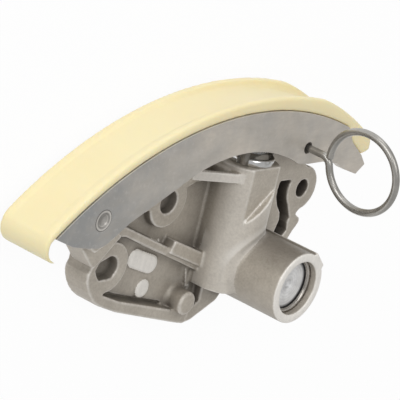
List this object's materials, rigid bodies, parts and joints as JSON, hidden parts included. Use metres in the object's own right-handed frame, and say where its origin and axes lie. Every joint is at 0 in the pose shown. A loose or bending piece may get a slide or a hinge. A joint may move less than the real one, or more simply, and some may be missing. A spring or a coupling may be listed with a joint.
{
  "type": "timing chain tensioner",
  "caption": "Die-cast hydraulic timing chain tensioner with a swinging steel arm, moulded chain shoe, sprung plunger, oil reservoir and a wire lock pin with a pull ring.",
  "frame": {"origin": "axis of the upper bolt hole, on the mounting face", "axes": "+X along the arm from its pivot to its free end, +Y the way the plunger pushes the arm towards the chain, +Z out of the mounting face towards the reservoir plug"},
  "size_m": [0.1314, 0.0698, 0.0504],
  "materials": {
    "casting": "as-cast die casting, warm grey, with a few machined faces",
    "arm_steel": "dull grey pressed steel",
    "shoe_nylon": "cream moulded nylon",
    "bush_bronze": "plain bearing bronze",
    "bright_steel": "ground bright steel",
    "dull_steel": "drawn steel wire and pressed steel",
    "plug_metal": "turned face",
    "seal_rubber": "black rubber",
    "filler_plastic": "black moulded plastic"
  },
  "bodies": {
    "tensioner_body": {"housing": "casting", "pivot_bush": "bush_bronze", "ratchet_clip": "bright_steel", "valve_seat": "bright_steel", "valve_cage": "dull_steel", "gallery_plug": "plug_metal", "reservoir_plug": "plug_metal", "plug_seal_ring": "seal_rubber", "plug_snap_ring": "dull_steel", "inlet_strainer": "dull_steel", "plunger_spring": "dull_steel", "valve_spring": "dull_steel"},
    "arm": {"lever_arm": "arm_steel", "slide_shoe": "shoe_nylon", "pivot_pin": "dull_steel"},
    "plunger_set": {"plunger": "bright_steel", "plunger_filler": "filler_plastic"},
    "valve_ball": {"check_ball": "bright_steel"},
    "pin": {"lock_pin": "dull_steel"}
  },
  "joints": [
    {"name": "arm_swing", "type": "hinge", "parent": "tensioner_body", "child": "arm", "pos_m": [-0.0392, 0.0037, 0.0107], "axis": [0, 0, 1], "range_deg": [0, 10.6]},
    {"name": "plunger_slide", "type": "slide", "parent": "tensioner_body", "child": "plunger_set", "axis": [0, 1, 0], "range_m": [0, 0.01243], "deforming": ["plunger_spring"]},
    {"name": "ball_lift", "type": "slide", "parent": "tensioner_body", "child": "valve_ball", "axis": [0, 1, 0], "range_m": [0, 0.0006], "deforming": ["valve_spring"]},
    {"name": "pin_pull", "type": "slide", "parent": "arm", "child": "pin", "axis": [0, 0, 1], "range_m": [0, 0.035]}
  ],
  "couplings": [
    {"joint": "plunger_slide", "follows": "arm_swing", "m_per_rad": 0.06719}
  ]
}
